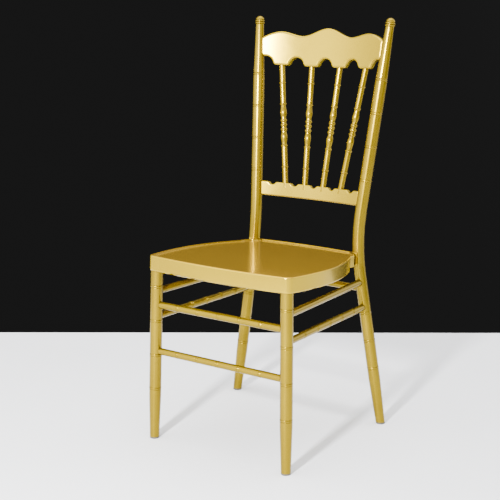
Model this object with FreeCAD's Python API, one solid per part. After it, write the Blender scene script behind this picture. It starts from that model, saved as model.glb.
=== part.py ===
import FreeCAD, Part
import math
import os

# A metal chiavari chair: tubular legs and uprights, turned spindles between two bowed
# rails, bead-and-groove stretchers, and a pressed sheet seat on a small bar frame.
# Millimetres. X runs to the right as seen from the front, Y to the back, Z up from the
# floor. Heights are above the floor, and Y places are from the middle of the seat.

Vector = FreeCAD.Vector
UP = Vector(0, 0, 1)

# Overall height, floor to the tops of the finials
CHAIR_HEIGHT = 960.0

# Leg and upright tube
LEG_OD = 28.0
LEG_WALL = 1.5
LEG_TIP_OD = 22.0
LEG_TAPER_HEIGHT = 107.0
POST_TOP_OD = 20.0
POST_TAPER_LENGTH = 130.0

# Front legs: spacing of the tube axes and their Y places, at the floor and at the seat
FRONT_FOOT_SPACING = 365.0
FRONT_FOOT_Y = -212.5
FRONT_TOP_SPACING = 348.0
FRONT_TOP_Y = -201.0
FRONT_TOP_HEIGHT = 438.0

# Rear legs and uprights, one tube each, bent at the knee
REAR_FOOT_SPACING = 423.0
REAR_FOOT_Y = 167.5
KNEE_SPACING = 284.4
KNEE_Y = 150.5
KNEE_HEIGHT = 440.5
BEND_RADIUS = 550.0
POST_TOP_SPACING = 361.0
POST_TOP_Y = 223.5

# Rings on tubes: a raised band between two narrow grooves
GROOVE_SPACING = 5.2
GROOVE_WIDTH = 2.0
GROOVE_DEPTH = 0.6
BAND_LIFT = 0.35
FRONT_RING_HEIGHT = 123.0
FRONT_RING_PITCH = 81.0
FRONT_RING_COUNT = 4
REAR_RING_HEIGHT = 139.0
REAR_RING_PITCH = 68.0
REAR_RING_COUNT = 3
POST_RING_HEIGHT = 588.0
POST_RING_PITCH = 77.5
POST_RING_COUNT = 4

# Stretchers
STRETCHER_OD = 16.0
STRETCHER_WALL = 1.2
STRETCHER_RING_PITCH = 56.4
STRETCHER_RING_COUNT = 5
FRONT_UPPER_HEIGHT = 322.3
FRONT_LOWER_HEIGHT = 212.7
SIDE_UPPER_HEIGHT = 354.0
SIDE_LOWER_HEIGHT = 294.5
SIDE_DROP = 6.4
REAR_HEIGHT = 332.7

# Finials
FINIAL_HEIGHT = 21.3
FINIAL_NECK_OD = 19.0
FINIAL_RING_OD = 23.4
FINIAL_RING_PITCH = 4.8
FINIAL_DOME_OD = 21.0
FINIAL_DOME_HEIGHT = 8.4
FINIAL_STEM_LENGTH = 16.0

# Crest rail: heights are above its lobe line, which is measured up the back from the knee
CREST_LOBE_LINE = 408.0
CREST_BOW = 34.0
CREST_THICKNESS = 20.0
CREST_EDGE_RADIUS = 5.0
CREST_END_INSET = 7.8
CREST_END_CORNER = 8.0
CREST_ARCH_HEIGHT = 20.0
CREST_ARCH_HALF_WIDTH = 21.0
CREST_ARCH_FLANK = 66.0
CREST_ARCH_RADIUS = 18.6
CREST_LOBE_CORNER = 8.0
CREST_END_TOP = 63.0
CREST_SHOULDER_TOP = 76.0
CREST_SHOULDER_X = 145.0
CREST_HUMP_TOP = 81.5
CREST_HUMP_X = 119.0
CREST_VALLEY_TOP = 72.8
CREST_VALLEY_X = 66.0
CREST_PEAK_TOP = 93.0

# Lower back rail, with a shallow dip between the spindles
LOWER_RAIL_FOOT = 88.0
LOWER_RAIL_BOW = 25.0
LOWER_RAIL_THICKNESS = 14.0
LOWER_RAIL_EDGE_RADIUS = 3.0
LOWER_RAIL_END_INSET = 12.5
LOWER_RAIL_END_CORNER = 4.0
LOWER_RAIL_HEIGHT = 34.0
LOWER_RAIL_DIP = 6.3
LOWER_RAIL_DIP_HALF_WIDTH = 9.9
LOWER_RAIL_DIP_FLANK = 52.0
LOWER_RAIL_DIP_RADIUS = 10.0
LOWER_RAIL_DIP_CORNER = 6.0

# Both rails are hollow
RAIL_WALL = 2.5

# Spindles: places of the inner and outer pair where they meet the rails
SPINDLE_FOOT_X = (25.8, 78.6)
SPINDLE_HEAD_X = (39.0, 116.4)
SPINDLE_OD = 14.0
SPINDLE_BEAD_OD = 16.4
SPINDLE_NECK_OD = 12.6
SPINDLE_RING_OD = 17.0
SPINDLE_MIDDLE_UP = 142.5
SPINDLE_BEAD_PITCH = 11.0
SPINDLE_BEAD_WIDTH = 8.0
SPINDLE_VASE_START = 19.0
SPINDLE_VASE_BELLY = 28.0
SPINDLE_VASE_END = 47.0
SPINDLE_INNER_RING = 51.0
SPINDLE_OUTER_RING = 103.0
SPINDLE_RING_WIDTH = 4.4
SPIGOT_OD = 10.0
SPIGOT_LENGTH = 10.0

# Seat pan: one pressed sheet with a raised rim, a rolled hem and a notch for each upright
SEAT_HEIGHT = 426.0
SEAT_SLOPE = 3.44
SEAT_SHEET = 1.2
SEAT_SKIRT_DEPTH = 35.5
SEAT_FRONT_Y = -230.0
SEAT_WIDTH = 399.0
SEAT_WIDEST_Y = -90.0
SEAT_REAR_SIDE_RADIUS = 450.0
SEAT_SHOULDER_Y = 85.0
SEAT_NECK_X = 156.5
SEAT_NECK_Y = 101.0
SEAT_NECK_END_Y = 119.0
SEAT_REAR_Y = 167.5
SEAT_REAR_RADIUS = 915.0
SEAT_RIM_WIDTH = 6.5
SEAT_RIM_RADIUS = 3.0
SEAT_RECESS = 3.0
SEAT_HEM_RADIUS = 4.0
SEAT_HEM_FLANGE = 6.0
SEAT_NECK_DEPTH = 27.0
SEAT_SHOULDER_INNER_X = 118.0

# Bars under the seat pan
BAR_SIZE = 20.0
BAR_WALL = 1.5
BEARER_X = 118.0
REAR_BAR_Y = 143.0

# Saddle brackets between the seat pan and the uprights
BRACKET_THICKNESS = 2.5
BRACKET_STAND = 3.0
BRACKET_START_ANGLE = -75.0
BRACKET_END_ANGLE = -180.0
NOTCH_START_ANGLE = -100.0

# Foot glides
GLIDE_HEIGHT = 4.0
GLIDE_STEM_LENGTH = 25.0
GLIDE_EDGE_RADIUS = 1.0

# Clearances
WELD_GAP = 0.1
PLUG_GAP = 0.1

# Length that a blank runs past the plane that trims it
SPARE = 12.0
BIG = 1200.0

SIDES = {"left": -1, "right": 1}


# Lines and frames

def point_at_height(low, high, height):
    """Point at a height on the line through two points."""
    share = (height - low.z) / (high.z - low.z)
    return low + (high - low) * share


def front_foot(side):
    return Vector(side * FRONT_FOOT_SPACING / 2, FRONT_FOOT_Y, 0)


def front_axis(side, height):
    top = Vector(side * FRONT_TOP_SPACING / 2, FRONT_TOP_Y, FRONT_TOP_HEIGHT)
    return point_at_height(front_foot(side), top, height)


def rear_foot(side):
    return Vector(side * REAR_FOOT_SPACING / 2, REAR_FOOT_Y, 0)


def knee(side):
    return Vector(side * KNEE_SPACING / 2, KNEE_Y, KNEE_HEIGHT)


def finial_top(side):
    return Vector(side * POST_TOP_SPACING / 2, POST_TOP_Y, CHAIR_HEIGHT)


def rear_axis(side, height):
    return point_at_height(rear_foot(side), knee(side), height)


def unit(vector):
    return vector * (1.0 / vector.Length)


def leg_direction(side):
    return unit(knee(side) - rear_foot(side))


def upright_direction(side):
    return unit(finial_top(side) - knee(side))


def post_end(side):
    """Centre of the upright tube's open top, where the finial sits."""
    return finial_top(side) - upright_direction(side) * FINIAL_HEIGHT


def along(shape, start, toward):
    """Copy of a shape made on the Z axis, laid from start towards another point."""
    placed = shape.copy()
    placed.Placement = FreeCAD.Placement(start, FreeCAD.Rotation(UP, toward - start))
    return placed


SEAT_FRAME = FreeCAD.Placement(
    Vector(0, 0, SEAT_HEIGHT), FreeCAD.Rotation(Vector(1, 0, 0), -SEAT_SLOPE))
BACK_LEAN = math.degrees(math.atan2(POST_TOP_Y - KNEE_Y, CHAIR_HEIGHT - KNEE_HEIGHT))
BACK_FRAME = FreeCAD.Placement(
    Vector(0, KNEE_Y, KNEE_HEIGHT), FreeCAD.Rotation(Vector(1, 0, 0), -BACK_LEAN))


def in_frame(shape, frame):
    placed = shape.copy()
    placed.Placement = frame.multiply(placed.Placement)
    return placed


def in_seat(point):
    """A point of the chair in the seat pan's own frame."""
    return SEAT_FRAME.inverse().multVec(point)


def box(low, high):
    size = high - low
    return Part.makeBox(size.x, size.y, size.z, low)


# Turned rods and tubes

def radius_at(stations, height):
    """Radius of a rod whose outline runs straight between (height, radius) stations."""
    for (low, low_radius), (high, high_radius) in zip(stations, stations[1:]):
        if height <= high:
            share = (height - low) / (high - low)
            return low_radius + (high_radius - low_radius) * share
    return stations[-1][1]


def ring_points(stations, centre):
    """Outline points of one ring: groove, raised band, groove."""
    groove = GROOVE_SPACING / 2
    half = GROOVE_WIDTH / 2
    steps = [
        (-groove - half, 0), (-groove, -GROOVE_DEPTH), (-groove + half, 0),
        (0, BAND_LIFT),
        (groove - half, 0), (groove, -GROOVE_DEPTH), (groove + half, 0)]
    return [(centre + up, radius_at(stations, centre + up) + out) for up, out in steps]


def line(start, end):
    return Part.LineSegment(start, end).toShape()


def arc(start, middle, end):
    return Part.Arc(start, middle, end).toShape()


def spun(edges, start, end):
    """Solid made by turning an outline, given from its low to its high end, round Z."""
    low = Vector(0, 0, start.z)
    high = Vector(0, 0, end.z)
    closing = [line(low, start), line(end, high), line(high, low)]
    wire = Part.Wire(Part.__sortEdges__(edges + closing))
    return Part.Face(wire).revolve(Vector(0, 0, 0), UP, 360)


def rod(stations, rings=(), grow=0.0):
    """Turned rod on the Z axis, with a ring at each height in rings."""
    def at(place):
        return Vector(place[1] + grow, 0, place[0])

    stops = [(height, False) for height, radius in stations[1:]]
    stops += [(height, True) for height in rings]
    edges = []
    here = stations[0]
    for height, ringed in sorted(stops):
        if ringed:
            points = ring_points(stations, height)
            edges.append(line(at(here), at(points[0])))
            for first in (0, 2, 4):
                edges.append(arc(*[at(place) for place in points[first:first + 3]]))
            here = points[-1]
        else:
            there = (height, radius_at(stations, height))
            edges.append(line(at(here), at(there)))
            here = there
    return spun(edges, at(stations[0]), at(here))


def even_rings(first, pitch, count):
    return [first + pitch * number for number in range(count)]


# Front legs

def front_leg_rod(side, grow=0.0, ringed=True):
    foot = front_foot(side)
    top = front_axis(side, FRONT_TOP_HEIGHT + SPARE)
    slant = (top - foot).Length / top.z
    stations = [
        (-SPARE, LEG_TIP_OD / 2), (0, LEG_TIP_OD / 2),
        (LEG_TAPER_HEIGHT * slant, LEG_OD / 2), ((top - foot).Length, LEG_OD / 2)]
    rings = even_rings(FRONT_RING_HEIGHT, FRONT_RING_PITCH, FRONT_RING_COUNT) if ringed else []
    shape = rod(stations, [height * slant for height in rings], grow)
    return along(shape, foot, top)


def floor_cut(shape, height):
    """The part of a shape above a height."""
    return shape.cut(box(Vector(-BIG, -BIG, -BIG), Vector(BIG, BIG, height)))


def under_seat(shape):
    """The part of a shape below the seat panel."""
    panel = -SEAT_RECESS - SEAT_SHEET - WELD_GAP
    above = box(Vector(-BIG, -BIG, panel), Vector(BIG, BIG, BIG))
    return shape.cut(in_frame(above, SEAT_FRAME))


def front_leg(side):
    tube = front_leg_rod(side).cut(front_leg_rod(side, -LEG_WALL, ringed=False))
    return under_seat(floor_cut(tube, GLIDE_HEIGHT))


# Rear legs and uprights

def bend_ends(side):
    """Tangent points of the bend at the knee, its centre, its axis and its angle."""
    below = leg_direction(side)
    above = upright_direction(side)
    angle = below.getAngle(above)
    tangent = BEND_RADIUS * math.tan(angle / 2)
    start = knee(side) - below * tangent
    end = knee(side) + above * tangent
    inward = unit(above - below * below.dot(above))
    return start, end, start + inward * BEND_RADIUS, below.cross(above), math.degrees(angle)


def post_rod(side, grow=0.0, ringed=True):
    """Rear leg, bend and upright in one piece."""
    start, end, centre, axis, angle = bend_ends(side)
    foot = rear_foot(side)
    slant = (start - foot).Length / start.z
    stations = [
        (-SPARE, LEG_TIP_OD / 2), (0, LEG_TIP_OD / 2),
        (LEG_TAPER_HEIGHT * slant, LEG_OD / 2), ((start - foot).Length, LEG_OD / 2)]
    rings = even_rings(REAR_RING_HEIGHT, REAR_RING_PITCH, REAR_RING_COUNT) if ringed else []
    leg = along(rod(stations, [height * slant for height in rings], grow), foot, start)

    section = Part.makeCircle(LEG_OD / 2 + grow, start, leg_direction(side))
    bend = Part.Face(Part.Wire(section)).revolve(centre, axis, angle)

    top = post_end(side)
    length = (top - end).Length
    rise = length / (top.z - end.z)
    stations = [
        (0, LEG_OD / 2), (length - POST_TAPER_LENGTH, LEG_OD / 2), (length, POST_TOP_OD / 2)]
    rings = even_rings(POST_RING_HEIGHT, POST_RING_PITCH, POST_RING_COUNT) if ringed else []
    upright = rod(stations, [(height - end.z) * rise for height in rings], grow)
    return leg.fuse([bend, along(upright, end, top)]).removeSplitter()


def rear_post(side):
    tube = post_rod(side).cut(post_rod(side, -LEG_WALL, ringed=False))
    return floor_cut(tube, GLIDE_HEIGHT)


# Finials and foot glides

def finial(side):
    """Domed cap with two rings, on a stem that plugs into the upright."""
    neck = FINIAL_NECK_OD / 2
    ring = FINIAL_RING_OD / 2
    dome = FINIAL_DOME_OD / 2
    dome_foot = FINIAL_HEIGHT - FINIAL_DOME_HEIGHT
    half = FINIAL_RING_PITCH * 0.42
    middles = [dome_foot - FINIAL_RING_PITCH * count for count in (1.9, 0.9)]
    edges = []
    here = Vector(POST_TOP_OD / 2, 0, 0)
    for middle in middles:
        low = Vector(neck, 0, middle - half)
        edges.append(line(here, low))
        here = Vector(neck, 0, middle + half)
        edges.append(arc(low, Vector(ring, 0, middle), here))
    rim = Vector(dome, 0, dome_foot)
    edges.append(line(here, rim))
    sphere = (dome ** 2 + FINIAL_DOME_HEIGHT ** 2) / (2 * FINIAL_DOME_HEIGHT)
    middle = math.asin(min(1.0, dome / sphere)) / 2
    shoulder = Vector(
        sphere * math.sin(middle), 0, FINIAL_HEIGHT - sphere + sphere * math.cos(middle))
    top = Vector(0, 0, FINIAL_HEIGHT)
    edges.append(arc(rim, shoulder, top))
    foot = Vector(0, 0, 0)
    closing = [line(foot, Vector(POST_TOP_OD / 2, 0, 0)), line(top, foot)]
    wire = Part.Wire(Part.__sortEdges__(edges + closing))
    head = Part.Face(wire).revolve(Vector(0, 0, 0), UP, 360)
    stem_top = POST_TOP_OD / 2 - LEG_WALL - PLUG_GAP
    stem = Part.makeCylinder(stem_top, FINIAL_STEM_LENGTH, Vector(0, 0, -FINIAL_STEM_LENGTH))
    return along(head.fuse(stem).removeSplitter(), post_end(side), finial_top(side))


def glide(foot, toward):
    """Plastic foot: a base cut level with the floor, on a stem that plugs into the leg."""
    base = along(Part.makeCylinder(LEG_TIP_OD / 2, BIG / 10, Vector(0, 0, -SPARE)), foot, toward)
    base = base.common(box(Vector(-BIG, -BIG, 0), Vector(BIG, BIG, GLIDE_HEIGHT)))
    rim = [edge for edge in base.Edges if edge.BoundBox.ZMax < GLIDE_HEIGHT / 2]
    base = base.makeFillet(GLIDE_EDGE_RADIUS, rim)
    bore = LEG_TIP_OD / 2 - LEG_WALL - PLUG_GAP
    stem = along(Part.makeCylinder(bore, GLIDE_STEM_LENGTH), foot, toward)
    return base.fuse(floor_cut(stem, GLIDE_HEIGHT / 2)).removeSplitter()


# Stretchers

def stretcher(start, end, ringed, obstacles):
    """Tube between two leg axes, its ends coped to the legs that it meets."""
    length = (end - start).Length
    stations = [(0, STRETCHER_OD / 2), (length, STRETCHER_OD / 2)]
    first = length / 2 - STRETCHER_RING_PITCH * (STRETCHER_RING_COUNT - 1) / 2
    rings = even_rings(first, STRETCHER_RING_PITCH, STRETCHER_RING_COUNT) if ringed else []
    tube = rod(stations, rings).cut(rod(stations, grow=-STRETCHER_WALL))
    shape = along(tube, start, end)
    for obstacle in obstacles:
        shape = shape.cut(obstacle)
    return shape


def front_stretcher(height, legs):
    return stretcher(front_axis(-1, height), front_axis(1, height), True, legs.values())


def side_stretcher(side, height, ringed, leg, post):
    start = front_axis(side, height)
    end = rear_axis(side, height - SIDE_DROP)
    return stretcher(start, end, ringed, [leg, post])


# Back rails, in the frame of the back: X, backwards, and up the back from the knee

def bowed_slab(thickness, bow, half_chord, low, high):
    """Upright slab bent to an arc whose ends lie in the plane of the uprights."""
    radius = (half_chord ** 2 + bow ** 2) / (2 * bow)
    centre = Vector(0, bow - radius, low)
    outer = Part.makeCylinder(radius + thickness / 2, high - low, centre)
    inner = Part.makeCylinder(radius - thickness / 2, high - low, centre)
    ahead = box(
        Vector(-BIG, bow - 2 * radius - BIG, low - 1), Vector(BIG, bow - radius, high + 1))
    return outer.cut([inner, ahead])


def post_x(up):
    """Distance of an upright's axis from the middle, at a place up the back."""
    rise = up * math.cos(math.radians(BACK_LEAN)) / (CHAIR_HEIGHT - KNEE_HEIGHT)
    return (KNEE_SPACING + (POST_TOP_SPACING - KNEE_SPACING) * rise) / 2


def bow_at(x, bow, half_chord):
    radius = (half_chord ** 2 + bow ** 2) / (2 * bow)
    return math.sqrt(radius ** 2 - x ** 2) - (radius - bow)


def smooth_edge(points):
    curve = Part.BSplineCurve()
    curve.interpolate(points)
    return curve.toShape()


def rounded_path(corners):
    """Edges through corners given as (x, up, radius), each rounded by its own radius."""
    points = [Vector(x, 0, up) for x, up, radius in corners]
    edges = []
    here = points[0]
    for number in range(1, len(points) - 1):
        corner = points[number]
        radius = corners[number][2]
        before = unit(points[number - 1] - corner)
        after = unit(points[number + 1] - corner)
        half = before.getAngle(after) / 2
        start = corner + before * (radius / math.tan(half))
        end = corner + after * (radius / math.tan(half))
        middle = corner + unit(before + after) * (radius / math.sin(half) - radius)
        edges += [line(here, start), arc(start, middle, end)]
        here = end
    return edges + [line(here, points[-1])]


def scallop(middle, half_width, flank, levels, radii):
    """Corners of one arch or dip: levels and radii are those of the edge, then its floor."""
    reach = abs(levels[1] - levels[0]) / math.tan(math.radians(flank))
    return [
        (middle - half_width, levels[0], radii[0]),
        (middle - half_width + reach, levels[1], radii[1]),
        (middle + half_width - reach, levels[1], radii[1]),
        (middle + half_width, levels[0], radii[0])]


def drawn_in(half_width, flank, radii, inset):
    """Half width and radii of a scallop whose rail is drawn in by an inset."""
    wider = half_width + inset * math.tan(math.radians(flank / 2))
    return wider, flank, (radii[0] - inset, radii[1] + inset)


def rail_body(wire, thickness, bow, half_chord):
    """Solid of a rail: its outline pushed through a bowed slab."""
    low = wire.BoundBox.ZMin - 1
    high = wire.BoundBox.ZMax + 1
    block = Part.Face(wire).extrude(Vector(0, 2 * BIG, 0))
    block.translate(Vector(0, -BIG, 0))
    return block.common(bowed_slab(thickness, bow, half_chord, low, high))


def crest_outline(inset):
    """Closed outline with a scalloped top and arches between rounded lobes."""
    lobe = CREST_LOBE_LINE + inset
    foot = lobe + CREST_ARCH_HEIGHT
    base = CREST_LOBE_LINE - inset
    high = base + CREST_END_TOP
    foot_x = post_x(foot) - CREST_END_INSET - inset
    high_x = post_x(high) - CREST_END_INSET - inset
    half_top = [
        (0, CREST_PEAK_TOP), (CREST_VALLEY_X, CREST_VALLEY_TOP),
        (CREST_HUMP_X, CREST_HUMP_TOP), (CREST_SHOULDER_X, CREST_SHOULDER_TOP),
        (high_x, CREST_END_TOP)]
    top = [(-x, up) for x, up in reversed(half_top) if x > 0] + half_top
    edges = [smooth_edge([Vector(x, 0, base + up) for x, up in top])]

    width, flank, radii = drawn_in(
        CREST_ARCH_HALF_WIDTH, CREST_ARCH_FLANK, (CREST_LOBE_CORNER, CREST_ARCH_RADIUS), inset)
    inner, outer = SPINDLE_HEAD_X
    middle = (inner + outer) / 2
    last = outer + (outer - inner) / 2
    arches = [scallop(place, width, flank, (lobe, foot), radii)
              for place in (-last, -middle, 0, middle, last)]
    corners = sum(arches[1:-1], arches[0][2:]) + arches[-1][:2]
    end = CREST_END_CORNER - inset
    edges += rounded_path(
        [(-high_x, high, 0), (-foot_x, foot, end)] + corners
        + [(foot_x, foot, end), (high_x, high, 0)])
    return Part.Wire(Part.__sortEdges__(edges))


def lower_rail_outline(inset):
    """Closed outline with a straight foot and a shallow dip on each side of a spindle."""
    foot = LOWER_RAIL_FOOT + inset
    high = LOWER_RAIL_FOOT + LOWER_RAIL_HEIGHT - inset
    foot_x = post_x(foot) - LOWER_RAIL_END_INSET - inset
    high_x = post_x(high) - LOWER_RAIL_END_INSET - inset
    width, flank, radii = drawn_in(
        LOWER_RAIL_DIP_HALF_WIDTH, LOWER_RAIL_DIP_FLANK,
        (LOWER_RAIL_DIP_CORNER, LOWER_RAIL_DIP_RADIUS), inset)
    inner, outer = SPINDLE_FOOT_X
    middle = (inner + outer) / 2
    last = outer + (outer - inner) * 0.6
    corners = []
    for place in (-last, -middle, 0, middle, last):
        corners += scallop(place, width, flank, (high, high - LOWER_RAIL_DIP), radii)
    end = LOWER_RAIL_END_CORNER - inset
    edges = rounded_path(
        [(0, foot, 0), (-foot_x, foot, end), (-high_x, high, end)] + corners
        + [(high_x, high, end), (foot_x, foot, end), (0, foot, 0)])
    return Part.Wire(Part.__sortEdges__(edges))


def is_bowed(face):
    """Whether a face is the front or the back of a rail, which stands upright."""
    return isinstance(face.Surface, Part.Cylinder) and abs(face.Surface.Axis.z) > 0.9


def rail(outline, thickness, bow, half_chord, edge_radius):
    """Filled outer shape of a rail, and the hollow inside it."""
    outer = rail_body(outline(0), thickness, bow, half_chord)
    rims = [edge for face in outer.Faces if is_bowed(face) for edge in face.Edges]
    outer = outer.makeFillet(edge_radius, rims)
    inner = rail_body(outline(RAIL_WALL), thickness - 2 * RAIL_WALL, bow, half_chord)
    return in_frame(outer, BACK_FRAME), in_frame(inner, BACK_FRAME)


def crest():
    return rail(
        crest_outline, CREST_THICKNESS, CREST_BOW, post_x(CREST_LOBE_LINE),
        CREST_EDGE_RADIUS)


def lower_rail():
    return rail(
        lower_rail_outline, LOWER_RAIL_THICKNESS, LOWER_RAIL_BOW,
        post_x(LOWER_RAIL_FOOT), LOWER_RAIL_EDGE_RADIUS)


# Spindles

def spindle_ends(side, pair):
    """Places on the middle surfaces of the two rails, in the frame of the back."""
    foot_x = SPINDLE_FOOT_X[pair]
    head_x = SPINDLE_HEAD_X[pair]
    foot = Vector(
        side * foot_x, bow_at(foot_x, LOWER_RAIL_BOW, post_x(LOWER_RAIL_FOOT)),
        LOWER_RAIL_FOOT + LOWER_RAIL_HEIGHT)
    head = Vector(
        side * head_x, bow_at(head_x, CREST_BOW, post_x(CREST_LOBE_LINE)), CREST_LOBE_LINE)
    return BACK_FRAME.multVec(foot), BACK_FRAME.multVec(head)


def spindle_runs(reach):
    """Outline of half a spindle from its middle bead: lines, arcs and one smooth vase."""
    shaft = SPINDLE_OD / 2
    bead = SPINDLE_BEAD_OD / 2
    neck = SPINDLE_NECK_OD / 2
    ring = SPINDLE_RING_OD / 2
    pitch = SPINDLE_BEAD_PITCH
    half = SPINDLE_BEAD_WIDTH / 2
    width = SPINDLE_RING_WIDTH / 2
    belly = SPINDLE_VASE_BELLY
    swell = (bead + neck) / 2
    runs = [
        [(half, neck), (pitch - half, neck)],
        [(pitch - half, neck), (pitch, bead), (pitch + half, neck)],
        [(pitch + half, neck), (SPINDLE_VASE_START, neck)],
        [(SPINDLE_VASE_START, neck), ((SPINDLE_VASE_START + belly) / 2 - 1, swell),
         (belly, bead), ((belly + SPINDLE_VASE_END) / 2, swell + 0.2),
         (SPINDLE_VASE_END, neck)]]
    here = (SPINDLE_VASE_END, neck)
    for middle in (SPINDLE_INNER_RING, SPINDLE_OUTER_RING):
        runs.append([here, (middle - width, shaft)])
        here = (middle + width, shaft)
        runs.append([(middle - width, shaft), (middle, ring), here])
    runs.append([here, (reach, shaft)])
    return runs


def spindle(side, pair, rails):
    """Turned spindle, its shaft seated on both rails and a spigot inside each."""
    foot, head = spindle_ends(side, pair)
    length = (head - foot).Length
    below = SPINDLE_MIDDLE_UP + SPARE
    above = length - SPINDLE_MIDDLE_UP + SPARE
    neck = SPINDLE_NECK_OD / 2
    half = SPINDLE_BEAD_WIDTH / 2
    edges = [arc(
        Vector(neck, 0, -half), Vector(SPINDLE_BEAD_OD / 2, 0, 0), Vector(neck, 0, half))]
    for sign, reach in ((-1, below), (1, above)):
        for run in spindle_runs(reach):
            points = [Vector(radius, 0, sign * up) for up, radius in run]
            if len(points) == 2:
                edges.append(line(*points))
            elif len(points) == 3:
                edges.append(arc(*points))
            else:
                edges.append(smooth_edge(points))
    shaft = SPINDLE_OD / 2
    turned = spun(edges, Vector(shaft, 0, -below), Vector(shaft, 0, above))
    middle = foot + unit(head - foot) * SPINDLE_MIDDLE_UP
    body = along(turned, middle, head)
    for body_of_rail in rails:
        body = body.cut(body_of_rail)
    body = max(body.Solids, key=lambda solid: solid.Volume)
    return body.fuse(spigots(side, pair, 0)).removeSplitter()


def spigots(side, pair, gap):
    """Round ends of a spindle, or with a gap the holes that take them."""
    foot, head = spindle_ends(side, pair)
    pins = []
    for seat, toward in ((foot, head), (head, foot)):
        away = unit(seat - toward)
        reach = SPIGOT_LENGTH + (SPARE if gap else 0)
        pins.append(Part.makeCylinder(
            SPIGOT_OD / 2 + gap, reach + SPIGOT_LENGTH, seat - away * SPIGOT_LENGTH, away))
    return pins


# Seat pan, in its own frame: X, backwards along the panel, and up from its rim

def leg_in_seat(depth):
    """Axis of the right front leg at a depth under the rim."""
    foot = in_seat(front_foot(1))
    top = in_seat(front_axis(1, FRONT_TOP_HEIGHT))
    return point_at_height(foot, top, -depth)


def post_in_seat():
    """Axis of the right upright where it passes the pan, halfway down the notch."""
    start, end, centre, axis, angle = bend_ends(1)
    below = leg_direction(1)
    toward_start = unit(start - centre)
    notch = in_seat(knee(1))
    height = SEAT_HEIGHT - notch.y * math.sin(math.radians(SEAT_SLOPE)) - SEAT_NECK_DEPTH / 2
    turn = math.asin((height - start.z) / (BEND_RADIUS * below.z))
    place = centre + (toward_start * math.cos(turn) + below * math.sin(turn)) * BEND_RADIUS
    return in_seat(place)


def arc_about(centre, start, end):
    """Short arc from start to end about a centre."""
    middle = unit((start - centre) + (end - centre)) * (start - centre).Length
    return arc(start, centre + middle, end)


def polar(centre, radius, degrees):
    turn = math.radians(degrees)
    return centre + Vector(radius * math.cos(turn), radius * math.sin(turn), 0)


def pan_half():
    """Edges of the pan's right half, from the middle of the front to that of the back."""
    corner = Vector(leg_in_seat(SEAT_SKIRT_DEPTH).x, leg_in_seat(SEAT_RECESS).y, 0)
    wrap = LEG_OD / 2 + PLUG_GAP + SEAT_SHEET
    back = corner.y - SEAT_FRONT_Y
    front_radius = (corner.x ** 2 + back ** 2 - wrap ** 2) / (2 * (back - wrap))
    front_centre = Vector(0, SEAT_FRONT_Y + front_radius, 0)

    widest = Vector(SEAT_WIDTH / 2, SEAT_WIDEST_Y, 0)
    out = widest.x - corner.x
    ahead = widest.y - corner.y
    side_radius = (out ** 2 + ahead ** 2 - wrap ** 2) / (2 * (out - wrap))
    side_centre = widest - Vector(side_radius, 0, 0)

    front_end = corner + unit(corner - front_centre) * wrap
    side_start = corner + unit(corner - side_centre) * wrap
    rear_centre = widest - Vector(SEAT_REAR_SIDE_RADIUS, 0, 0)
    run = SEAT_SHOULDER_Y - widest.y
    shoulder = rear_centre + Vector(math.sqrt(SEAT_REAR_SIDE_RADIUS ** 2 - run ** 2), run, 0)
    neck = Vector(SEAT_NECK_X, SEAT_NECK_Y, 0)
    neck_end = Vector(SEAT_NECK_X, SEAT_NECK_END_Y, 0)

    post = Vector(post_in_seat().x, post_in_seat().y, 0)
    notch = LEG_OD / 2 + BRACKET_THICKNESS + WELD_GAP
    notch_start = polar(post, notch, NOTCH_START_ANGLE)
    notch_middle = polar(post, notch, (NOTCH_START_ANGLE + BRACKET_END_ANGLE) / 2)
    notch_end = polar(post, notch, BRACKET_END_ANGLE)
    back_centre = Vector(0, SEAT_REAR_Y - SEAT_REAR_RADIUS, 0)
    tail = back_centre + Vector(
        notch_end.x, math.sqrt(SEAT_REAR_RADIUS ** 2 - notch_end.x ** 2), 0)
    return [
        arc_about(front_centre, Vector(0, SEAT_FRONT_Y, 0), front_end),
        arc_about(corner, front_end, side_start),
        arc_about(side_centre, side_start, widest),
        arc_about(rear_centre, widest, shoulder),
        line(shoulder, neck),
        line(neck, neck_end),
        line(neck_end, notch_start),
        arc(notch_start, notch_middle, notch_end),
        line(notch_end, tail),
        arc_about(back_centre, tail, Vector(0, SEAT_REAR_Y, 0))]


def pan_wire(inset=0.0):
    half = pan_half()
    other = [edge.mirror(Vector(0, 0, 0), Vector(1, 0, 0)) for edge in half]
    wire = Part.Wire(Part.__sortEdges__(half + other))
    return wire.makeOffset2D(-inset) if inset else wire


def pan_block(inset, low, high, low_radius, high_radius):
    """The pan's outline, drawn in and pushed up, with rounded lower and upper edges."""
    wire = pan_wire(inset)
    wire.translate(Vector(0, 0, low))
    block = Part.Face(wire).extrude(Vector(0, 0, high - low))
    for radius, level in ((low_radius, low), (high_radius, high)):
        if radius:
            rims = [edge for edge in block.Edges
                    if abs(edge.BoundBox.ZMin - level) < 0.01
                    and abs(edge.BoundBox.ZMax - level) < 0.01]
            block = block.makeFillet(radius, rims)
    return block


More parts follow.
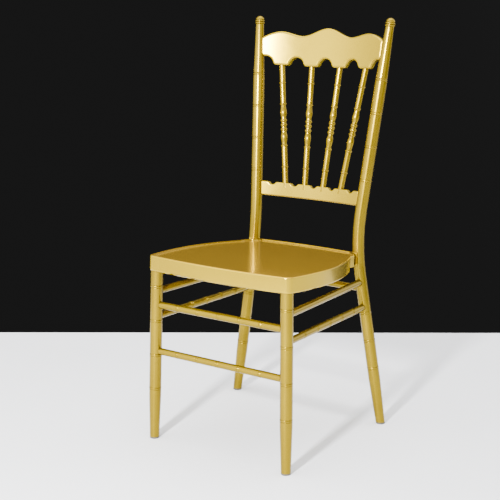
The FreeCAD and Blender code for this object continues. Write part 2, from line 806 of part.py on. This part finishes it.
def seat_pan():
    """Pressed sheet: raised rim, sunk panel, skirt with a rolled hem, room for the legs."""
    sheet = SEAT_SHEET
    outside = pan_block(0, -SEAT_SKIRT_DEPTH, 0, SEAT_HEM_RADIUS, SEAT_RIM_RADIUS)
    inside = pan_block(
        sheet, sheet - SEAT_SKIRT_DEPTH, -sheet, SEAT_HEM_RADIUS - sheet,
        SEAT_RIM_RADIUS - sheet)
    mouth = pan_block(SEAT_HEM_FLANGE, -SEAT_SKIRT_DEPTH - 1, -SEAT_SKIRT_DEPTH / 2, 0, 0)
    panel = pan_block(SEAT_RIM_WIDTH - sheet, -SEAT_RECESS - sheet, -sheet, 0, 0)
    recess = pan_block(SEAT_RIM_WIDTH, -SEAT_RECESS, SEAT_RECESS, sheet, 0)
    pan = outside.cut(inside).cut(mouth).fuse(panel).cut(recess)
    for side in (-1, 1):
        low = Vector(side * BIG, SEAT_SHOULDER_Y, -2 * SEAT_SKIRT_DEPTH)
        high = Vector(side * SEAT_SHOULDER_INNER_X, BIG, -SEAT_NECK_DEPTH)
        corner = box(
            Vector(min(low.x, high.x), low.y, low.z), Vector(max(low.x, high.x), high.y, high.z))
        pan = pan.cut(corner)
    pan = in_frame(pan, SEAT_FRAME)
    for side in (-1, 1):
        pan = pan.cut(under_seat(front_leg_rod(side, WELD_GAP)))
    return max(pan.removeSplitter().Solids, key=lambda solid: solid.Volume)


def bracket(side, post):
    """Saddle plate between the pan's notch and an upright, shaped to the tube."""
    centre = Vector(post_in_seat().x, post_in_seat().y, -SEAT_NECK_DEPTH)
    outer = LEG_OD / 2 + BRACKET_THICKNESS
    inner = LEG_OD / 2 - BRACKET_THICKNESS
    start, end = BRACKET_START_ANGLE, BRACKET_END_ANGLE
    middle = (start + end) / 2
    edges = [
        arc(*[polar(centre, outer, turn) for turn in (start, middle, end)]),
        arc(*[polar(centre, inner, turn) for turn in (start, middle, end)]),
        line(polar(centre, inner, start), polar(centre, outer, start)),
        line(polar(centre, inner, end), polar(centre, outer, end))]
    face = Part.Face(Part.Wire(Part.__sortEdges__(edges)))
    plate = face.extrude(Vector(0, 0, SEAT_NECK_DEPTH + BRACKET_STAND))
    if side < 0:
        plate = plate.mirror(Vector(0, 0, 0), Vector(1, 0, 0))
    return in_frame(plate, SEAT_FRAME).cut(post)


# Bars under the pan

def square_tube(start, end, across):
    """Square tube between two points that lie along X or along Y, under the panel."""
    half = across * (BAR_SIZE / 2)
    thin = across * (BAR_SIZE / 2 - BAR_WALL)
    wall = Vector(0, 0, BAR_WALL)
    rise = Vector(0, 0, BAR_SIZE)
    outer = box(start - half, end + half + rise)
    return outer.cut(box(start - thin + wall, end + thin + rise - wall))


def seat_bars(cutters):
    """Front bar between the legs, rear bar between the brackets, two bearers between."""
    floor = -SEAT_RECESS - SEAT_SHEET - WELD_GAP - BAR_SIZE
    leg = leg_in_seat(SEAT_RECESS)
    front_y = leg.y
    along_x = Vector(0, 1, 0)
    reach = post_in_seat().x - LEG_OD / 2
    bars = {
        "seat_front_bar": square_tube(
            Vector(-leg.x, front_y, floor), Vector(leg.x, front_y, floor), along_x),
        "seat_rear_bar": square_tube(
            Vector(-reach, REAR_BAR_Y, floor), Vector(reach, REAR_BAR_Y, floor), along_x)}
    for word, side in SIDES.items():
        start = Vector(side * BEARER_X, front_y + BAR_SIZE / 2 + WELD_GAP, floor)
        end = Vector(side * BEARER_X, REAR_BAR_Y - BAR_SIZE / 2 - WELD_GAP, floor)
        bars["seat_bearer_" + word] = square_tube(start, end, Vector(1, 0, 0))
    shapes = {}
    for name, bar in bars.items():
        shape = in_frame(bar, SEAT_FRAME)
        for cutter in cutters:
            shape = shape.cut(cutter)
        shapes[name] = max(shape.Solids, key=lambda solid: solid.Volume)
    return shapes


# The whole chair

def chair():
    """Every piece by its name."""
    legs = {side: front_leg_rod(side, WELD_GAP) for side in (-1, 1)}
    posts = {side: post_rod(side, WELD_GAP) for side in (-1, 1)}
    pieces = {}
    for word, side in SIDES.items():
        pieces["front_leg_" + word] = front_leg(side)
        pieces["rear_post_" + word] = rear_post(side)
        pieces["finial_" + word] = finial(side)
        pieces["glide_front_" + word] = glide(front_foot(side), front_axis(side, KNEE_HEIGHT))
        pieces["glide_rear_" + word] = glide(rear_foot(side), knee(side))
        pieces["side_stretcher_upper_" + word] = side_stretcher(
            side, SIDE_UPPER_HEIGHT, False, legs[side], posts[side])
        pieces["side_stretcher_lower_" + word] = side_stretcher(
            side, SIDE_LOWER_HEIGHT, True, legs[side], posts[side])
    pieces["front_stretcher_upper"] = front_stretcher(FRONT_UPPER_HEIGHT, legs)
    pieces["front_stretcher_lower"] = front_stretcher(FRONT_LOWER_HEIGHT, legs)
    pieces["rear_stretcher"] = stretcher(
        rear_axis(-1, REAR_HEIGHT), rear_axis(1, REAR_HEIGHT), False, posts.values())

    rails = {"crest_rail": crest(), "lower_back_rail": lower_rail()}
    filled = [outer for outer, hollow in rails.values()]
    holes = []
    for pair, word_pair in enumerate(("inner", "outer")):
        for word, side in SIDES.items():
            pieces["spindle_" + word_pair + "_" + word] = spindle(side, pair, filled)
            holes += spigots(side, pair, PLUG_GAP)
    for name, (outer, hollow) in rails.items():
        pieces[name] = outer.cut([hollow] + holes + list(posts.values()))

    pieces["seat_pan"] = seat_pan()
    for word, side in SIDES.items():
        pieces["seat_bracket_" + word] = bracket(side, posts[side])
    notch_outside = LEG_OD / 2 + BRACKET_THICKNESS + SEAT_SHEET + 2 * WELD_GAP
    collars = [
        in_frame(Part.makeCylinder(
            notch_outside, 2 * SEAT_SKIRT_DEPTH,
            Vector(side * post_in_seat().x, post_in_seat().y, -2 * SEAT_SKIRT_DEPTH)), SEAT_FRAME)
        for side in (-1, 1)]
    pieces.update(seat_bars(list(legs.values()) + collars))
    return pieces


def main():
    pieces = chair()
    whole = Part.makeCompound(list(pieces.values())).optimalBoundingBox(False, False)
    centre = Vector(-(whole.XMin + whole.XMax) / 2, -(whole.YMin + whole.YMax) / 2, 0)
    os.makedirs("parts", exist_ok=True)
    for name, piece in pieces.items():
        piece.translate(centre)
        piece.exportStep("parts/" + name + ".step")
        print(name, len(piece.Solids), "solid", round(piece.Volume / 1000, 2), "cm3")
    print("shift to the middle of the box", centre)
    print("overall", round(whole.XLength, 1), round(whole.YLength, 1), round(whole.ZMax, 1))


main()
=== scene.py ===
# %% [markdown]
# # A gold chiavari chair
#
# This lesson dresses a metal ballroom chair that was already built as solids. The tubes, rails,
# spindles and the pressed seat come in at their real size, so the work here is what the eye
# reads as gold: a lacquer with depth, the light that it mirrors, and a few dark plastic feet.
# Everything is in metres: X to the viewer's right, Y towards the chair's back, Z up.

# %% Load the chair
import bpy
import math
from mathutils import Matrix, Vector

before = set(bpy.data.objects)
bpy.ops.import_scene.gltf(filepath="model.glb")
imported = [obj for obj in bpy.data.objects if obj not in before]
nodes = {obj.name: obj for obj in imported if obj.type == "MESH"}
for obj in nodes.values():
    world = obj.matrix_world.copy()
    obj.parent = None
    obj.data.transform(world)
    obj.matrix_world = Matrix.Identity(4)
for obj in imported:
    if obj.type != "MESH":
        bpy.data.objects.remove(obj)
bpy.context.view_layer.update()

# %% [markdown]
# ## The camera
#
# A chair is usually shown from a little above its seat and turned by a third of a right
# angle, so that the front, one side and the back are all seen. The lens is a long one,
# because a short lens would splay the legs. The camera's own axes are built from two angles
# and a very small roll, which is easier to check than aiming it at an empty.

# %% Place the camera
TURN = math.radians(34.359)
TILT = math.radians(12.929)
ROLL = math.radians(0.0717)
CAMERA_PLACE = Vector((1.3904, -2.13358, 1.0152))
LENS_MM = 80.63
SENSOR_MM = 36.0

toward_camera = Vector((
    math.sin(TURN) * math.cos(TILT), -math.cos(TURN) * math.cos(TILT), math.sin(TILT)))
level_right = Vector((math.cos(TURN), math.sin(TURN), 0))
level_up = toward_camera.cross(level_right)
camera_right = level_right * math.cos(ROLL) + level_up * math.sin(ROLL)
camera_up = toward_camera.cross(camera_right)

lens = bpy.data.cameras.new("chair_camera")
lens.sensor_width = SENSOR_MM
lens.lens = LENS_MM
camera = bpy.data.objects.new("chair_camera", lens)
bpy.context.scene.collection.objects.link(camera)
axes = Matrix((camera_right, camera_up, toward_camera)).transposed()
camera.matrix_world = Matrix.Translation(CAMERA_PLACE) @ axes.to_4x4()
bpy.context.scene.camera = camera
print("camera", [round(v, 3) for v in CAMERA_PLACE], "lens", round(lens.lens, 2), "mm")

# %% [markdown]
# ## Helpers for node chains
#
# Every finish here is a short chain of nodes. A long script could set up each node in full,
# but three small helpers keep the chains readable: one adds a node and sets its values, one
# joins two sockets, and one starts a new finish. Patterns are laid out in the object's own
# coordinates, in metres, so a grain of one millimetre stays one millimetre on every piece.

# %% Node helpers
def add_node(owner, kind, **values):
    """A new node of a material or the world, its sockets and settings given by name."""
    node = owner.node_tree.nodes.new(kind)
    for name, value in values.items():
        label = name.replace("_", " ")
        if label in node.inputs:
            node.inputs[label].default_value = value
        else:
            setattr(node, name, value)
    return node


def join(owner, start, end):
    """A link from an output socket to an input socket."""
    owner.node_tree.links.new(start, end)


def new_finish(name):
    """An empty node material with its shader, and the metre coordinates of its piece."""
    material = bpy.data.materials.new(name)
    material.use_nodes = True
    shader = material.node_tree.nodes["Principled BSDF"]
    place = add_node(material, "ShaderNodeTexCoord").outputs["Object"]
    return material, shader, place


print("node helpers ready")

# %% [markdown]
# ## Helpers for patterns
#
# Sprayed lacquer, moulded plastic and a studio floor all vary softly, without a repeat. A
# painted picture could show that, but soft noise does it at any distance. The noise seldom
# leaves the middle third of its range, so a second helper stretches that third to the values
# that are wanted. The last two turn a pattern into a colour and into a fine relief.

# %% Pattern helpers
NOISE_LOW, NOISE_HIGH = 0.35, 0.65


def noise(material, place, scale, detail=2.0, roughness=0.5):
    """Soft noise with so many lumps to the metre."""
    node = add_node(
        material, "ShaderNodeTexNoise", Scale=scale, Detail=detail, Roughness=roughness)
    join(material, place, node.inputs["Vector"])
    return node.outputs["Fac"]


def spread(material, value, low, high, start=NOISE_LOW, end=NOISE_HIGH):
    """A value stretched from start..end to low..high."""
    node = add_node(material, "ShaderNodeMapRange")
    node.inputs["From Min"].default_value = start
    node.inputs["From Max"].default_value = end
    node.inputs["To Min"].default_value = low
    node.inputs["To Max"].default_value = high
    join(material, value, node.inputs["Value"])
    return node.outputs["Result"]


def blend_colours(material, share, first, second):
    """One colour turning into another as share goes from 0 to 1. Either may be a socket."""
    node = add_node(material, "ShaderNodeMix", data_type="RGBA")
    join(material, share, node.inputs["Factor"])
    pair = [socket for socket in node.inputs if socket.type == "RGBA"]
    for socket, colour in zip(pair, (first, second)):
        if isinstance(colour, tuple):
            socket.default_value = (*colour, 1)
        else:
            join(material, colour, socket)
    return [socket for socket in node.outputs if socket.type == "RGBA"][0]


def bumps(material, shader, height, strength, distance):
    """A relief on the shader's surface, distance metres deep at full strength."""
    node = add_node(material, "ShaderNodeBump", Strength=strength, Distance=distance)
    join(material, height, node.inputs["Height"])
    join(material, node.outputs["Normal"], shader.inputs["Normal"])


print("pattern helpers ready, noise used from", NOISE_LOW, "to", NOISE_HIGH)

# %% [markdown]
# ## Gold lacquer
#
# The chair isn't solid gold and isn't bare brass: it is bright metal under a tinted lacquer.
# Under the tint the metal flakes give broad, soft, coloured reflections, so the shader is
# mostly metal, with middling roughness. The lacquer's own surface adds a little white shine.
# That is the shader's coat, and it is kept very thin: a full coat would mirror the pale floor
# and bleach the gold. The colour drifts slightly, since the tint is sprayed by hand, and the
# surface has the fine ripple that painters call orange peel. The grooves beside each ring and
# every corner where two tubes meet get painted shade: a dark colour laid where the shape is
# hollow. The ambient occlusion node finds those hollows from the shape alone, which beats
# painting each of them by hand.

# %% Describe the gold lacquer
METAL_SHARE = 0.80
LACQUER_IOR = 1.5
TINT_SHEEN = 0.2
COAT_ROUGHNESS = 0.08

DRIFTS_PER_METRE = 9.0
CLOUDS_PER_METRE = 34.0
PEEL_PER_METRE = 260.0
PEEL_DEPTH = 0.0001

GROOVE_REACH = 0.004
GROOVE_SAMPLES = 8
GROOVE_SHUT, GROOVE_OPEN = 0.50, 0.92
# Painted shade: the dark colour laid into the grooves and corners that the ambient occlusion
# node finds.
PAINTED_GROOVE_SHADE = (0.085, 0.046, 0.001)


def gold_lacquer(name, bright, deep, polish, clear, ripple):
    """Tinted lacquer with metal flakes. polish is the flakes' roughness, clear the top coat."""
    material, shader, place = new_finish(name)
    shader.inputs["Metallic"].default_value = METAL_SHARE
    shader.inputs["IOR"].default_value = LACQUER_IOR
    shader.inputs["Specular IOR Level"].default_value = TINT_SHEEN
    shader.inputs["Coat Weight"].default_value = clear
    shader.inputs["Coat Roughness"].default_value = COAT_ROUGHNESS
    shader.inputs["Coat IOR"].default_value = LACQUER_IOR

    drift = noise(material, place, DRIFTS_PER_METRE, detail=3.0)
    tint = blend_colours(material, spread(material, drift, 0, 1), bright, deep)
    # Painted shade: where the ambient occlusion node finds a groove or a corner, the colour
    # turns dark.
    hollow = add_node(
        material, "ShaderNodeAmbientOcclusion", Distance=GROOVE_REACH, samples=GROOVE_SAMPLES)
    unshaded_share = spread(material, hollow.outputs["AO"], 0, 1, GROOVE_SHUT, GROOVE_OPEN)
    tint = blend_colours(material, unshaded_share, PAINTED_GROOVE_SHADE, tint)
    join(material, tint, shader.inputs["Base Color"])

    cloud = noise(material, place, CLOUDS_PER_METRE, detail=4.0, roughness=0.6)
    join(material, spread(material, cloud, *polish), shader.inputs["Roughness"])

    peel = noise(material, place, PEEL_PER_METRE, detail=1.0)
    bumps(material, shader, peel, ripple, PEEL_DEPTH)
    return material


print("lacquer: metal share", METAL_SHARE, "grooves within", GROOVE_REACH, "m")

# %% [markdown]
# ## The same gold three times
#
# The tubes, the two rails and the seat are sprayed with one gold. One material for all would
# be simpler, but a round tube mirrors the pale floor along its whole length, and with the
# seat's tint it comes out bleached. So one recipe is used three times. The tubes get a deeper
# tint, the flat rails a duller polish, and the seat, a smooth pressed sheet, the finest one.

# %% Mix the gold lacquer
tube_gold = gold_lacquer(
    "gold_lacquer_on_tube",
    bright=(0.215, 0.146, 0.003), deep=(0.197, 0.131, 0.002),
    polish=(0.21, 0.25), clear=0.02, ripple=0.008)
rail_gold = gold_lacquer(
    "gold_lacquer_on_rails",
    bright=(0.385, 0.266, 0.006), deep=(0.365, 0.249, 0.005),
    polish=(0.24, 0.27), clear=0.02, ripple=0.006)
seat_gold = gold_lacquer(
    "gold_lacquer_on_seat",
    bright=(0.415, 0.284, 0.006), deep=(0.395, 0.266, 0.005),
    polish=(0.15, 0.18), clear=0.03, ripple=0.004)
print("gold finishes:", tube_gold.name, rail_gold.name, seat_gold.name)

# %% [markdown]
# ## Painted shade on the seat's level panel
#
# The seat is pressed from one sheet, yet in this light its level panel looks browner than its
# skirt. That browner colour is painted shade, laid on the panel with a smaller share of metal.
# A second material for the panel would leave a hard line at the rim. So the seat keeps one
# lacquer, and the upward part of the surface's own direction, which is one on the panel and
# nought on the skirt, moves its colour and its share of metal smoothly.

# %% Paint shade onto the level panel
# Painted shade: the browner colour laid on the seat's upward-facing panel.
PAINTED_PANEL_SHADE = (0.36, 0.208, 0.016)
PANEL_SHADE_METAL_SHARE = 0.70
PANEL_SHADE_STARTS, PANEL_SHADE_FULL = 0.6, 0.98

seat_shader = seat_gold.node_tree.nodes["Principled BSDF"]
facing = add_node(seat_gold, "ShaderNodeSeparateXYZ")
normal = add_node(seat_gold, "ShaderNodeNewGeometry").outputs["Normal"]
join(seat_gold, normal, facing.inputs["Vector"])
level = spread(seat_gold, facing.outputs["Z"], 0, 1, PANEL_SHADE_STARTS, PANEL_SHADE_FULL)
sprayed = seat_shader.inputs["Base Color"].links[0].from_socket
panel_shaded = blend_colours(seat_gold, level, sprayed, PAINTED_PANEL_SHADE)
join(seat_gold, panel_shaded, seat_shader.inputs["Base Color"])
metal_share = spread(seat_gold, level, METAL_SHARE, PANEL_SHADE_METAL_SHARE, 0, 1)
join(seat_gold, metal_share, seat_shader.inputs["Metallic"])
print("level panel:", PAINTED_PANEL_SHADE, "metal share", PANEL_SHADE_METAL_SHARE)

# %% [markdown]
# ## The plastic feet
#
# Each leg ends in a small moulded plastic glide. Moulded plastic isn't one flat black: it is
# a dark brown-grey with a fine grain, a little dustier in patches where it meets the floor.
# A rough shader with a fine bump and two close colours is enough, because the feet are small.

# %% Mix the glide plastic
GLIDE_DARK = (0.030, 0.027, 0.024)
GLIDE_DUSTY = (0.075, 0.068, 0.060)
GLIDE_ROUGHNESS = (0.45, 0.65)
PATCHES_PER_METRE = 160.0
GRAINS_PER_METRE = 1800.0
GRAIN_STRENGTH = 0.25
GRAIN_DEPTH = 0.0003

glide_plastic, shader, place = new_finish("glide_plastic")
dust = noise(glide_plastic, place, PATCHES_PER_METRE, detail=4.0)
patches = spread(glide_plastic, dust, 0, 1)
plastic_colour = blend_colours(glide_plastic, patches, GLIDE_DARK, GLIDE_DUSTY)
join(glide_plastic, plastic_colour, shader.inputs["Base Color"])
join(glide_plastic, spread(glide_plastic, patches, *GLIDE_ROUGHNESS, 0, 1),
     shader.inputs["Roughness"])
grain = noise(glide_plastic, place, GRAINS_PER_METRE)
bumps(glide_plastic, shader, grain, GRAIN_STRENGTH, GRAIN_DEPTH)
print("feet:", glide_plastic.name)

# %% [markdown]
# ## Which finish goes on which piece
#
# The names of the pieces say what they are, so the finish follows from the name. Setting the
# material on the piece's existing slots keeps the solid untouched.

# %% Put the finishes on
def finish_for(name):
    """The finish that a piece of this name takes."""
    if name.startswith("glide"):
        return glide_plastic
    if name.startswith("seat"):
        return seat_gold
    if name in ("crest_rail", "lower_back_rail"):
        return rail_gold
    return tube_gold


for name, piece in nodes.items():
    for slot in piece.material_slots:
        slot.material = finish_for(name)
    print(name, "->", finish_for(name).name)

# %% [markdown]
# ## The floor
#
# The floor is a pale, nearly matt surface. It ends in a straight line behind the chair, as a
# studio floor ends at its backdrop, and runs on far to the front, because gold shows whatever
# lies in front of it. It is a plain sheet turned to the camera's own direction.

# %% Lay the floor
FLOOR_BEHIND = 0.742
FLOOR_AHEAD = 7.0
FLOOR_ASIDE = 7.0

away = Vector((-math.sin(TURN), math.cos(TURN), 0))
corners = [
    level_right * across + away * deep
    for across, deep in (
        (-FLOOR_ASIDE, -FLOOR_AHEAD), (FLOOR_ASIDE, -FLOOR_AHEAD),
        (FLOOR_ASIDE, FLOOR_BEHIND), (-FLOOR_ASIDE, FLOOR_BEHIND))]
sheet = bpy.data.meshes.new("floor")
sheet.from_pydata([tuple(corner) for corner in corners], [], [(0, 1, 2, 3)])
floor = bpy.data.objects.new("floor", sheet)
bpy.context.scene.collection.objects.link(floor)
print("floor", len(sheet.polygons), "face, ends", FLOOR_BEHIND, "m behind the chair")

# %% [markdown]
# ## The floor's paint
#
# Painted board is never quite even: feet and cloths leave it a shade duller here and there.
# One flat grey would look like paper, so two very close greys drift into each other in
# patches about a third of a metre wide. The paint is rough, so the chair stands on it without
# a mirror picture.

# %% Paint the floor
FRESH_PAINT = (0.72, 0.725, 0.745)
WORN_PAINT = (0.70, 0.705, 0.725)
WEAR_PER_METRE = 3.0
PAINT_ROUGHNESS = 0.6

pale_floor, shader, place = new_finish("pale_floor")
worn = spread(pale_floor, noise(pale_floor, place, WEAR_PER_METRE, detail=5.0), 0, 1)
paint = blend_colours(pale_floor, worn, FRESH_PAINT, WORN_PAINT)
join(pale_floor, paint, shader.inputs["Base Color"])
shader.inputs["Roughness"].default_value = PAINT_ROUGHNESS
sheet.materials.append(pale_floor)
print("floor paint:", pale_floor.name, "roughness", PAINT_ROUGHNESS)

# %% [markdown]
# ## The room that the gold mirrors
#
# Metal has hardly any colour of its own: it shows the room. This room is dark behind the
# chair and brightest in front of it. It glows on the front left and the left, more faintly on
# the right, from above, and from behind on the right. Walls with lamps behind cloth would do,
# but a wall would stand in the way of a camera behind the chair. A sky that swells softly
# towards a few directions gives the same reflections and never gets in the way.

# %% Place the room's glows
def direction(turn, lift):
    """A unit direction: turn in degrees from the front to the viewer's right, lift upwards."""
    across, up = math.radians(turn), math.radians(lift)
    return Vector((
        math.sin(across) * math.cos(up), -math.cos(across) * math.cos(up), math.sin(up)))


ROOM_GLOWS = (
    # turn, lift, power, strength
    (9, 4, 60, 13),
    (-30, 9, 12, 5.6),
    (-45, 45, 8, 3.5),
    (-72, 5, 14, 2.1),
    (62, 20, 10, 3.0),
    (0, 90, 4, 3.5),
    (135, 45, 8, 2.1),
    (146, 14, 12, 2.9),
)
ROOM_DARK = 0.012
print("room glows:", len(ROOM_GLOWS))

# %% [markdown]
# ## Adding the glows up
#
# Each glow is the closeness of a direction to the glow's own, raised to a power: a high power
# makes a narrow glow, a low one a wide one. Half of all directions point away from a glow and
# would give a number below nought, so those are cut off first. A picture of a studio wrapped
# round the scene could do the same, but these few numbers are easier to change one at a time.

# %% Shade the room
room = bpy.data.worlds.new("studio_room")
bpy.context.scene.world = room
room.use_nodes = True
way = add_node(room, "ShaderNodeTexCoord").outputs["Generated"]
total = None
for turn, lift, power, strength in ROOM_GLOWS:
    closeness = add_node(room, "ShaderNodeVectorMath", operation="DOT_PRODUCT")
    closeness.inputs[1].default_value = direction(turn, lift)
    join(room, way, closeness.inputs[0])
    ahead = add_node(room, "ShaderNodeMath", operation="MAXIMUM")
    ahead.inputs[1].default_value = 0
    join(room, closeness.outputs["Value"], ahead.inputs[0])
    narrow = add_node(room, "ShaderNodeMath", operation="POWER")
    narrow.inputs[1].default_value = power
    join(room, ahead.outputs["Value"], narrow.inputs[0])
    glow = add_node(room, "ShaderNodeMath", operation="MULTIPLY_ADD")
    glow.inputs[1].default_value = strength
    glow.inputs[2].default_value = ROOM_DARK
    join(room, narrow.outputs["Value"], glow.inputs[0])
    if total is not None:
        join(room, total, glow.inputs[2])
    total = glow.outputs["Value"]
sky = room.node_tree.nodes["Background"]
join(room, total, sky.inputs["Color"])
sky.inputs["Strength"].default_value = 1.0
print("room:", room.name, "darkest", ROOM_DARK)

# %% [markdown]
# ## The lamps
#
# The glows alone give no clear shadow, and a chair without one seems to float. One small
# lamp stands in front, low enough that its shadows run far back between the legs, and it
# leaves a pale patch on the crest rail. A sun would throw the same shadows, but with hard
# edges and the same strength everywhere. A wide lamp overhead keeps the floor pale.

# %% Hang the lamps
LAMPS = (
    # name, place, width, watts, aim
    ("front_lamp", (0.37, -2.6, 1.48), 0.20, 350, (0, 0, 0.5)),
    ("ceiling_lamp", (0, 0.2, 3.0), 2.2, 48, (0, 0, 0)),
)


def hang_lamp(name, place, width, watts, aim):
    """A square soft lamp that the camera doesn't see."""
    light = bpy.data.lights.new(name, "AREA")
    light.shape = "SQUARE"
    light.size = width
    light.energy = watts
    lamp = bpy.data.objects.new(name, light)
    bpy.context.scene.collection.objects.link(lamp)
    lamp.location = place
    lamp.rotation_euler = (Vector(aim) - Vector(place)).to_track_quat("-Z", "Y").to_euler()
    lamp.visible_camera = False
    print(name, watts, "W at", place)


for row in LAMPS:
    hang_lamp(*row)
